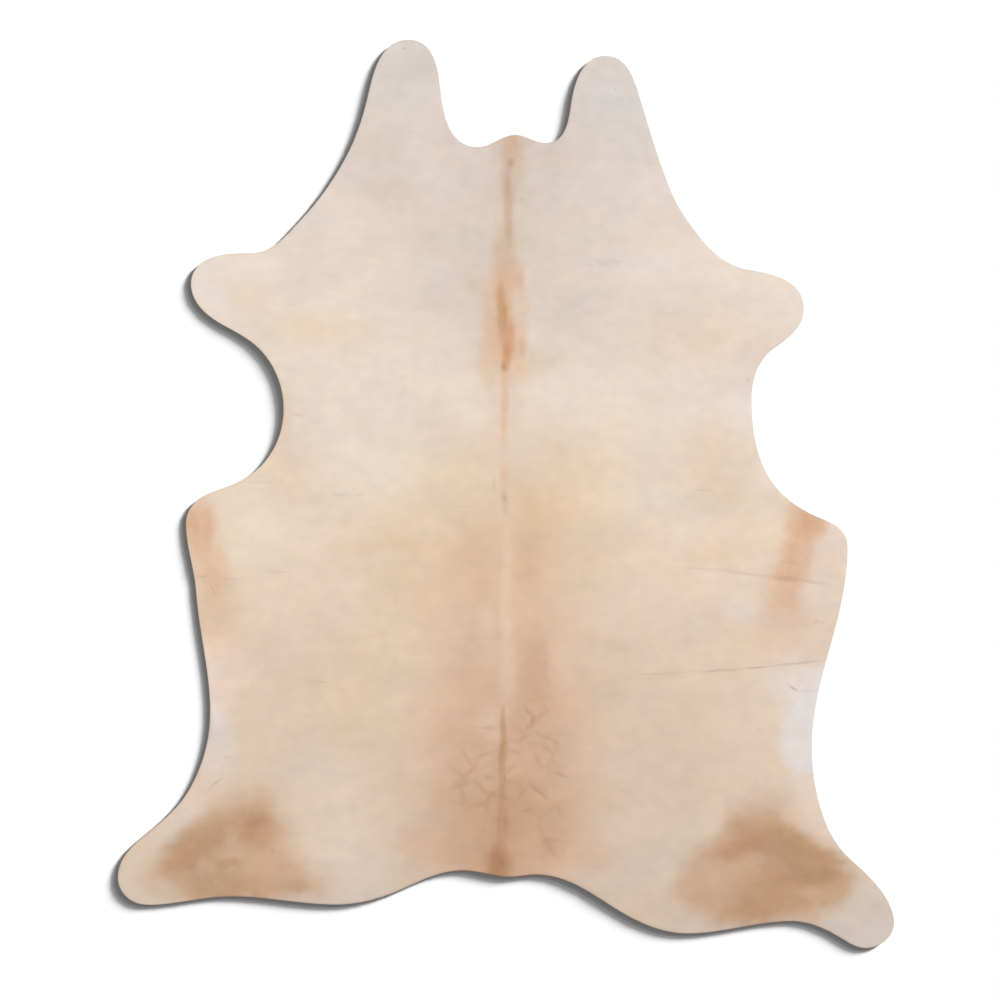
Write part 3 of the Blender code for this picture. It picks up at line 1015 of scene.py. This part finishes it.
def newMaterial(name, finish):
    material = bpy.data.materials.new(name)
    material.use_nodes = True
    tree = material.node_tree
    shader = tree.nodes["Principled BSDF"]
    for socket, value in finish.items():
        shader.inputs[socket].default_value = value
    return material, tree, shader


# Thin dark lines on the coat in mm: painted shade along creases, folds and wrinkles, veins, nicks and small
# scratches
thinLines = table(
    "name x0 y0 x1 y1 halfWidth share",
    # long crease on the right flank: painted shade along it and under it
    ("back end", 286, -441, 490, -428, 3.6, 0.14),
    ("middle", 430, -433, 600, -422, 3.2, 0.24),
    ("dark stretch", 565, -423, 650, -417, 3.0, 0.34),
    ("belly end", 630, -418, 785, -402, 3.4, 0.26),
    ("shade under it", 290, -449, 470, -438, 9.0, 0.07),
    # upper crease on the right flank and the pucker over it, all painted shade
    ("back end", 410, -177, 540, -186, 4.2, 0.09),
    ("middle", 500, -181, 660, -203, 4.2, 0.13),
    # painted shade along the crease, wider here
    ("smudge", 640, -203, 722, -209, 8.0, 0.20),
    ("belly end", 690, -206, 790, -219, 5.0, 0.15),
    ("pucker over the upper crease", 660, -163, 712, -170, 4.0, 0.12),
    # right belly, waist and armpit: painted shade along the short crease and the waist crease, nicks and a
    # mark
    ("short crease, hook", 682, -463, 708, -478, 3.4, 0.34),
    ("short crease, tail", 700, -477, 752, -477, 3.0, 0.14),
    ("nick on the right flank", 742, -315, 758, -305, 3.4, 0.20),
    ("nick by the right belly", 604, -571, 622, -573, 3.6, 0.13),
    ("crease at the right waist", 455, 12, 505, 7, 3.0, 0.13),
    ("mark at the right armpit", 580, 282, 592, 270, 6.0, 0.16),
    # left flank and belly: painted shade along the crease and its wrinkles, a dash and marks
    ("crease, outer", -748, -199, -722, -201, 3.0, 0.16),
    ("crease, inner", -684, -205, -632, -208, 2.8, 0.14),
    ("crease, far end", -590, -186, -520, -189, 3.0, 0.12),
    ("wrinkle", -722, -206, -700, -250, 3.0, 0.14),
    ("wrinkle, low", -708, -214, -694, -236, 3.0, 0.12),
    ("left side dash", -468, -455, -428, -456, 3.2, 0.14),
    ("left belly mark", -622, -466, -612, -466, 4.0, 0.12),
    ("left belly mark, low", -684, -634, -668, -640, 4.0, 0.14),
    # left waist and hock: painted shade along the waist's creases and its folded edge, a scratch and a mark
    ("left waist, edge shade", -528, 194, -488, 191, 6.0, 0.16),
    ("left waist crease, upper", -492, 172, -440, 173, 3.0, 0.07),
    ("left waist crease", -650, 30, -548, 28, 3.6, 0.10),
    ("left waist crease, inner", -420, -2, -382, -4, 2.8, 0.13),
    ("left waist crease, inner end", -374, -3, -330, 0, 2.8, 0.12),
    ("scratch above the left hock", -716, -707, -682, -685, 2.6, 0.26),
    ("left hock mark, inner", -572, -858, -560, -868, 4.5, 0.16),
    # cheeks and back line
    ("speck on the left cheek", -250, 1082, -244, 1076, 4.0, 0.34),
    ("speck on the right cheek", 262, 982, 268, 978, 4.0, 0.18),
    ("scratch on the left neck", -270, 965, -240, 970, 3.0, 0.08),
    ("speck by the back line", 34, 714, 40, 710, 3.4, 0.20),
    ("back line, knot", 5, 804, 19, 801, 11.0, 0.14),
    ("back line, thread", 6, 790, 4, 700, 5.0, 0.09),
    ("withers thread", -4, 470, 0, 400, 4.5, 0.12),
    ("withers tip", -7, 318, -3, 298, 6.0, 0.16),
    # squiggle on the collar
    ("left", 190, 556, 214, 552, 4.5, 0.12),
    ("arch", 206, 570, 234, 562, 3.6, 0.13),
    ("right", 222, 558, 246, 556, 4.5, 0.13),
    ("far", 252, 566, 280, 560, 4.5, 0.11),
    ("far arch", 264, 552, 290, 566, 3.6, 0.09),
    # loin and tail: a grey line, a knot, painted shade along a crease left of the back, the tail line's edges
    ("grey line beside the back", -30, 50, -27, 0, 3.0, 0.13),
    ("loin knot, dark", -6, -2, -1, -20, 4.5, 0.22),
    ("crease left of the back", -128, -30, -66, -31, 2.4, 0.10),
    ("tail line, left edge", -18, -760, -20, -880, 3.4, 0.09),
    ("tail line, right edge", 2, -720, 0, -850, 3.4, 0.09),
    # veins on the rump
    ("knot", 64, -530, 66, -566, 8.5, 0.16),
    ("above the knot, left", 38, -512, 64, -540, 5.7, 0.10),
    ("above the knot, right", 74, -538, 116, -514, 6.2, 0.08),
    ("under the knot, left", 24, -602, 64, -578, 5.7, 0.14),
    ("under the knot, right", 68, -574, 134, -608, 5.7, 0.14),
    ("left of the tail", -76, -564, -20, -565, 5.0, 0.16),
    ("left of the tail, low", -84, -642, -20, -618, 5.6, 0.15),
    ("left of the tail, short", -48, -716, -22, -732, 5.0, 0.13),
    ("by the tail, upper", 4, -620, 42, -632, 6.4, 0.15),
    ("by the tail, right", -4, -680, 16, -666, 5.2, 0.13),
    ("right, arch", 108, -668, 158, -690, 5.2, 0.15),
    ("right, fork", 58, -704, 104, -740, 5.4, 0.18),
    ("right, low", 24, -768, 84, -762, 5.2, 0.12),
    ("low, dark", 92, -832, 122, -880, 10.0, 0.14),
)
lineSides = (0, 1.4)      # half widths, from the full darkness to none

hair = {
    "finish": {
        "Roughness": 0.62,
        "Specular IOR Level": 0.25,
        "Sheen Weight": 0.12,
        "Sheen Roughness": 0.45,
    },
    "strand": 2.2,        # mm across; hair is finer, drawn this coarse so that it shows
    "strandRun": 38,      # mm along
    "strandSpan": (0.3, 0.7),     # the noise from its dark to its light end
    "strandShade": "#FDFBF9",
    "strandRough": (0.70, 0.56),  # roughness in and on a strand
    "blotch": 26,         # mm
    "blotchStretch": 0.65,    # its size along the hide to its size across it
    "blotchSpan": (0.35, 0.65),
    "blotchWarm": "#FEFCFA",
    "blotchCool": "#F9F7F6",
    "markAndPaintedCreaseShade": "#937560",
    "lineWander": 6,      # mm
    "lineWanderSize": 45,     # mm
    "bump": 0.05,
    "bumpHigh": 0.4,      # mm
}
white = "#FFFFFF"         # no tint


# Growth veins: a net of soft brown lines under the hair of the rump, strongest beside the tail
veins = {
    "size": 50,           # mm from line to line
    "width": 0.20,        # share of that size that a line and its soft sides take
    "shade": "#B08A6C",
    "share": 0.19,
    "wander": 26,         # mm
    "wanderSize": 34,     # mm
    "patches": [          # x y along across in mm, where they show
        (45, -640, 110, 190),
        (-70, -690, 75, 110),
        (120, -800, 60, 80),
    ],
    "patchSides": (0.35, 1.15),
    "bare": (215, -770, 90, 75),  # a plain place beside them
    "bareSides": (0.7, 1.0),
    "unevenSize": 70,     # mm
    "unevenSpan": (0.4, 0.62),
    "weakest": 0.15,      # share left where they fade
}


def softEllipse(tree, place, ellipse, sides, strengths, turn=0):
    # goes from the first strength to the second across an ellipse's sides, given in half widths
    x, y, along, across = ellipse
    own = addNode(tree, "Mapping", {
        "vector_type": "TEXTURE",
        "Location": (x * mm, y * mm, 0),
        "Rotation": (0, 0, turn),
        "Scale": (along * mm, across * mm, 1),
    }, {"Vector": place})
    away = addNode(tree, "VectorMath", {"operation": "LENGTH"}, {0: own})
    return addNode(tree, "MapRange", {
        "interpolation_type": "SMOOTHSTEP", "From Min": sides[0], "From Max": sides[1],
        "To Min": strengths[0], "To Max": strengths[1]}, {"Value": away.outputs["Value"]})


def combined(tree, operation, values):
    # all the values taken together, one after the other
    total = values[0]
    for value in values[1:]:
        total = addNode(tree, "Math", {"operation": operation}, {0: total, 1: value})
    return total


def wandered(tree, place, size, shift):
    # places pushed about by a soft noise, size and shift in mm
    noise = addNode(tree, "TexNoise", {"Scale": 1 / (size * mm), "Detail": 2.0}, {"Vector": place})
    centred = addNode(tree, "VectorMath", {"operation": "SUBTRACT", 1: (0.5, 0.5, 0.5)},
                      {0: noise.outputs["Color"]})
    scaled = addNode(tree, "VectorMath", {"operation": "SCALE", "Scale": shift * mm}, {0: centred})
    return addNode(tree, "VectorMath", {"operation": "ADD"}, {0: place, 1: scaled})


def lineAndCreaseShadeDarkness(tree, place):
    # how dark the thin lines, painted crease shade among them, are at a place, from 0 to 1: each is a long
    # ellipse with soft sides
    strengths = []
    for line in thinLines:
        dx, dy = line.x1 - line.x0, line.y1 - line.y0
        ellipse = ((line.x0 + line.x1) / 2, (line.y0 + line.y1) / 2, math.hypot(dx, dy) / 2, line.halfWidth)
        strengths.append(softEllipse(tree, place, ellipse, lineSides, (line.share, 0), math.atan2(dy, dx)))
    return combined(tree, "MAXIMUM", strengths)


def veinDarkness(tree, place):
    # how dark the veins are at a place, from 0 to 1
    loose = wandered(tree, place, veins["wanderSize"], veins["wander"])
    onFloor = addNode(tree, "Mapping", {"Scale": (1 / (veins["size"] * mm),) * 2 + (0,)}, {"Vector": loose})
    net = addNode(tree, "TexVoronoi", {"feature": "DISTANCE_TO_EDGE", "Scale": 1.0}, {"Vector": onFloor})
    lines = addNode(tree, "MapRange", {
        "interpolation_type": "SMOOTHSTEP", "From Max": veins["width"], "To Min": veins["share"],
        "To Max": 0.0}, {"Value": net.outputs["Distance"]})
    shown = combined(tree, "MAXIMUM", [
        softEllipse(tree, place, patch, veins["patchSides"], (1, 0)) for patch in veins["patches"]])
    bare = softEllipse(tree, place, veins["bare"], veins["bareSides"], (0, 1))
    uneven = addNode(tree, "TexNoise", {"Scale": 1 / (veins["unevenSize"] * mm), "Detail": 1.0},
                     {"Vector": place})
    low, high = veins["unevenSpan"]
    held = addNode(tree, "MapRange", {
        "interpolation_type": "SMOOTHSTEP", "From Min": low, "From Max": high,
        "To Min": veins["weakest"]}, {"Value": uneven})
    return combined(tree, "MULTIPLY", [lines, shown, bare, held])


def tinted(tree, colour, share, low, high):
    # a colour times a tint, which goes from one shade to the other with the share
    tint = addNode(tree, "Mix", {"data_type": "RGBA", 6: linear(low), 7: linear(high)}, {0: share})
    return addNode(tree, "Mix", {"data_type": "RGBA", "blend_type": "MULTIPLY", 0: 1.0},
                   {6: colour, 7: tint.outputs[2]}).outputs[2]


def cattleHair():
    # short flat cattle hair: soft satin, fine streaks along its run and a watery mottling
    material, tree, shader = newMaterial("short flat cattle hair", hair["finish"])
    tone = addNode(tree, "VertexColor", {"layer_name": "coatTone"})
    place = addNode(tree, "TexCoord").outputs["Object"]
    run = addNode(tree, "UVMap", {"uv_map": "hairRun"})
    drawn = addNode(tree, "Mapping", {
        "Scale": (1 / (hair["strandRun"] * mm), 1 / (hair["strand"] * mm), 1)}, {"Vector": run})
    strands = addNode(tree, "TexNoise", {"Scale": 1.0, "Detail": 3.0, "Roughness": 0.6}, {"Vector": drawn})
    wide = addNode(tree, "Mapping", {
        "Scale": (hair["blotchStretch"] / (hair["blotch"] * mm), 1 / (hair["blotch"] * mm), 1)},
        {"Vector": place})
    blotch = addNode(tree, "TexNoise", {"Scale": 1.0, "Detail": 4.0, "Roughness": 0.55}, {"Vector": wide})
    low, high = hair["blotchSpan"]
    clouds = addNode(tree, "MapRange", {"From Min": low, "From Max": high}, {"Value": blotch})
    low, high = hair["strandSpan"]
    streaks = addNode(tree, "MapRange", {"From Min": low, "From Max": high}, {"Value": strands})
    between, on = hair["strandRough"]
    rough = addNode(tree, "MapRange", {
        "From Min": low, "From Max": high, "To Min": between, "To Max": on}, {"Value": strands})
    lines = lineAndCreaseShadeDarkness(tree, wandered(tree, place, hair["lineWanderSize"], hair["lineWander"]))
    colour = tinted(tree, tone, streaks, hair["strandShade"], white)
    colour = tinted(tree, colour, clouds, hair["blotchWarm"], hair["blotchCool"])
    # the thin lines darken it: painted shade along the creases, and marks in the hair
    colour = tinted(tree, colour, lines, white, hair["markAndPaintedCreaseShade"])
    colour = tinted(tree, colour, veinDarkness(tree, place), white, veins["shade"])
    bump = addNode(tree, "Bump", {"Strength": hair["bump"], "Distance": hair["bumpHigh"] * mm},
                   {"Height": strands})
    connect(tree, shader, {"Base Color": colour, "Roughness": rough, "Normal": bump})
    return material


suede = {
    "finish": {
        "Roughness": 0.9,
        "Specular IOR Level": 0.2,
        "Sheen Weight": 0.2,
        "Sheen Roughness": 0.6,
    },
    "nap": 1.6,           # mm
    "napShade": "#E6DED2",
    "cloud": 60,          # mm
    "cloudSpan": (0.35, 0.65),
    "pale": "#DDD0BF",
    "deep": "#C9B69F",
    "bump": 0.5,
    "bumpHigh": 0.3,      # mm
}


def fleshSide():
    # chrome-tanned and split: a short velvety nap, cloudy where the knife went deeper
    material, tree, shader = newMaterial("sueded cattle leather", suede["finish"])
    place = addNode(tree, "TexCoord").outputs["Object"]
    nap = addNode(tree, "TexNoise", {"Scale": 1 / (suede["nap"] * mm), "Detail": 4.0}, {"Vector": place})
    cloud = addNode(tree, "TexNoise", {"Scale": 1 / (suede["cloud"] * mm), "Detail": 5.0}, {"Vector": place})
    low, high = suede["cloudSpan"]
    share = addNode(tree, "MapRange", {"From Min": low, "From Max": high}, {"Value": cloud})
    ground = addNode(tree, "Mix", {
        "data_type": "RGBA", 6: linear(suede["deep"]), 7: linear(suede["pale"])}, {0: share})
    bump = addNode(tree, "Bump", {"Strength": suede["bump"], "Distance": suede["bumpHigh"] * mm},
                   {"Height": nap})
    connect(tree, shader, {
        "Base Color": tinted(tree, ground.outputs[2], nap, suede["napShade"], white), "Normal": bump})
    return material


# Building it
leatherPiece, edge, flatArea = makeLeather()
bakeMap(leatherPiece, edge, lambda tilt: tilt < -bakeLayout["wallTilt"])
report("leather made, its edge in", len(edge.points), "points")
coatPiece = makeCoat(edge)
paint(coatPiece, coatTone(*readPoints(coatPiece.data)[:, :2].T))
bakeMap(coatPiece, edge, lambda tilt: tilt > -bakeLayout["wallTilt"])
report("coat made,", sum(len(face.vertices) - 2 for face in coatPiece.data.polygons), "triangles")
coatCaster = BVHTree.FromObject(coatPiece, bpy.context.evaluated_depsgraph_get())
lockPieces = makeLocks(edge, coatCaster)
lockPieces.append(makeRimLocks(edge, coatCaster))
hairMaterial = cattleHair()
for piece in (coatPiece, *lockPieces):
    piece.data.materials.append(hairMaterial)
leatherPiece.data.materials.append(fleshSide())
report("materials made")

# Floor, lights and camera
studio = {
    "floorSize": 60.0,    # metres
    "floor": "#FFFFFF",
    "worldShade": "#FFFFFF",
    "worldStrength": 0.10,    # as light: weak, so that the edge shadow stays dark
    "worldSeen": 1.0,     # as seen behind the floor in low views
}
# Big soft lights, each turned on one thing: strength, height and direction in degrees, degrees across.
# The three on the floor are one tall soft light in parts, which draws the long soft edge shadow.
lamps = table(
    "name power elevation azimuth angle target",
    ("soft light over the hide", 2.93, 80, 36.5, 50, "hide"),
    ("low soft light on the floor", 21.6, 5.9, 36.5, 4.2, "floor"),
    ("middle soft light on the floor", 2.9, 10, 36.5, 7.5, "floor"),
    ("high soft light on the floor", 0.25, 38, 36.5, 70, "floor"),
)
picture = {
    "lens": 85,           # mm on a 36 mm sensor
    "width": 2.423,       # metres of floor across the picture
    "x": -14.5,           # mm, the picture's centre on the hide
    "y": -14.5,
    "farthest": 200,      # metres that the camera sees
}


def makeStudio(pieces):
    bpy.ops.mesh.primitive_plane_add(size=studio["floorSize"])
    floor = bpy.context.active_object
    floor.name = "floor"
    floor.data.materials.append(newMaterial("matt white studio paint", {
        "Base Color": linear(studio["floor"]), "Roughness": 0.9, "Specular IOR Level": 0.0})[0])
    world = bpy.data.worlds.new("pale studio")
    bpy.context.scene.world = world
    world.use_nodes = True
    tree = world.node_tree
    background = tree.nodes["Background"]
    background.inputs["Color"].default_value = linear(studio["worldShade"])
    seen = addNode(tree, "LightPath").outputs["Is Camera Ray"]
    strength = addNode(tree, "MapRange", {
        "To Min": studio["worldStrength"], "To Max": studio["worldSeen"]}, {"Value": seen})
    connect(tree, background, {"Strength": strength})
    targets = {"hide": pieces, "floor": [floor]}
    for lamp in lamps:
        data = bpy.data.lights.new(lamp.name, "SUN")
        data.energy = lamp.power
        data.angle = math.radians(lamp.angle)
        light = bpy.data.objects.new(lamp.name, data)
        bpy.context.scene.collection.objects.link(light)
        light.rotation_euler = (0, math.radians(90 - lamp.elevation), math.radians(lamp.azimuth))
        lit = bpy.data.collections.new("lit by the " + lamp.name)
        for piece in targets[lamp.target]:
            lit.objects.link(piece)
        light.light_linking.receiver_collection = lit


def makeCamera():
    data = bpy.data.cameras.new("camera")
    data.lens = picture["lens"]
    camera = bpy.data.objects.new("camera", data)
    bpy.context.scene.collection.objects.link(camera)
    away = picture["width"] * data.lens / data.sensor_width
    camera.location = (picture["x"] * mm, picture["y"] * mm, away)
    data.clip_end = picture["farthest"]
    bpy.context.scene.camera = camera


hairPieces = [coatPiece, *lockPieces]
makeStudio([leatherPiece, *hairPieces])
makeCamera()
bpy.context.scene.view_settings.view_transform = "Standard"

for piece in (leatherPiece, *hairPieces):
    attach(piece, "root")
    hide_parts("hide")
